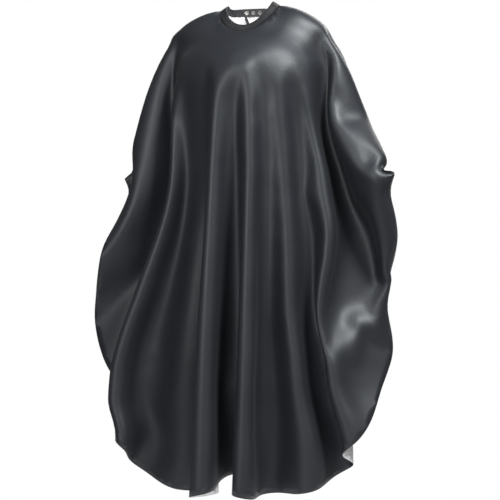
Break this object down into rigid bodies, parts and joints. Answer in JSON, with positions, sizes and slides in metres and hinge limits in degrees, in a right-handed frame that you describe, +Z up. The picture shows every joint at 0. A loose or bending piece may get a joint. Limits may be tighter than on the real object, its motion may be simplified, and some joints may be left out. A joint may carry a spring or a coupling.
{
  "type": "salon cape",
  "caption": "Draped salon cape with a standing neckband, a back slit with bound edges and a snap tab at the nape.",
  "frame": {"origin": "on the neckband's axis, at half the neckband's height", "axes": "+Z up, -Y the way the wearer faces, +X to the wearer's left as seen from the front view's right"},
  "size_m": [0.72, 0.4484, 1.1283],
  "materials": {
    "cape_cloth": "satin outside, silver coating inside",
    "binding_cloth": "matt woven tape",
    "band_cloth": "matt woven",
    "interlining": "stiff non-woven",
    "thread": "twisted polyester thread",
    "snap_metal": "nickel plated",
    "spring_wire": "drawn wire"
  },
  "bodies": {
    "root": {"cape_sheet": "cape_cloth", "hem_stitching": "thread", "inner_flap_binding": "binding_cloth", "outer_flap_binding": "binding_cloth", "neckband": "band_cloth", "neckband_interlining": "interlining", "neckband_stitching": "thread", "stud_1": "snap_metal", "stud_2": "snap_metal", "stud_3": "snap_metal", "stud_4": "snap_metal", "stud_5": "snap_metal", "stud_post_1": "snap_metal", "stud_post_2": "snap_metal", "stud_post_3": "snap_metal", "stud_post_4": "snap_metal", "stud_post_5": "snap_metal"},
    "tab": {"closing_tab": "band_cloth", "tab_interlining": "interlining", "tab_stitching": "thread", "snap_cap": "snap_metal", "snap_socket": "snap_metal", "socket_spring": "spring_wire"}
  },
  "joints": [
    {"name": "tab_swing", "type": "hinge", "parent": "root", "child": "tab", "pos_m": [-0.01585, 0.06818, 0.01449], "axis": [0, -0.2079, 0.9781], "range_deg": [0, 150]}
  ]
}
